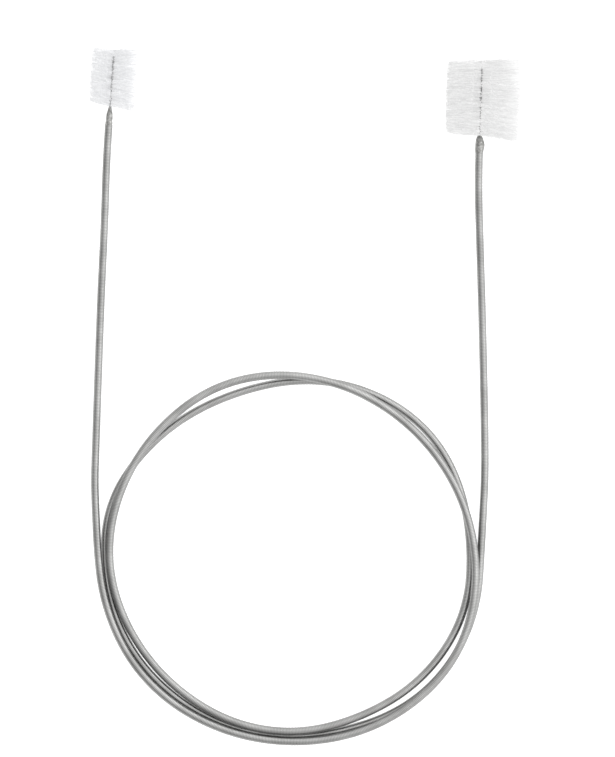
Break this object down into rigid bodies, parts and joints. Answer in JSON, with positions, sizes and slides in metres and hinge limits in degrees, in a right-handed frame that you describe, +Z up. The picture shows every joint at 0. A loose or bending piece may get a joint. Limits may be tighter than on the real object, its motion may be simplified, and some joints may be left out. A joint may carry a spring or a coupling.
{
  "type": "flexible hose brush",
  "caption": "Long close-wound spring shaft lying in loose coils, with a small round bristle brush on one end and a larger one on the other.",
  "frame": {"origin": "middle of the whole object's footprint, on the surface it lies on", "axes": "+Z up, +Y from the coil towards the two brushes, the large brush on the +X side"},
  "size_m": [0.1752, 0.2854, 0.0305],
  "materials": {
    "spring_steel": "stainless spring wire, drawn",
    "braze": "brazed over and ground",
    "stem_wire": "stainless wire, drawn",
    "small_bristles": "translucent white nylon filament",
    "large_bristles": "translucent white nylon filament"
  },
  "bodies": {
    "root": {"shaft_leg_small": "spring_steel", "shaft_coil": "spring_steel", "shaft_leg_large": "spring_steel", "small_neck": "braze", "large_neck": "braze", "small_stem_wire_a": "stem_wire", "small_stem_wire_b": "stem_wire", "large_stem_wire_a": "stem_wire", "large_stem_wire_b": "stem_wire", "small_bristle_row_1": "small_bristles", "small_bristle_row_2": "small_bristles", "small_bristle_row_3": "small_bristles", "small_bristle_row_4": "small_bristles", "small_bristle_row_5": "small_bristles", "small_bristle_row_6": "small_bristles", "large_bristle_row_1": "large_bristles", "large_bristle_row_2": "large_bristles", "large_bristle_row_3": "large_bristles", "large_bristle_row_4": "large_bristles", "large_bristle_row_5": "large_bristles", "large_bristle_row_6": "large_bristles", "large_bristle_row_7": "large_bristles", "large_bristle_row_8": "large_bristles"}
  },
  "joints": []
}
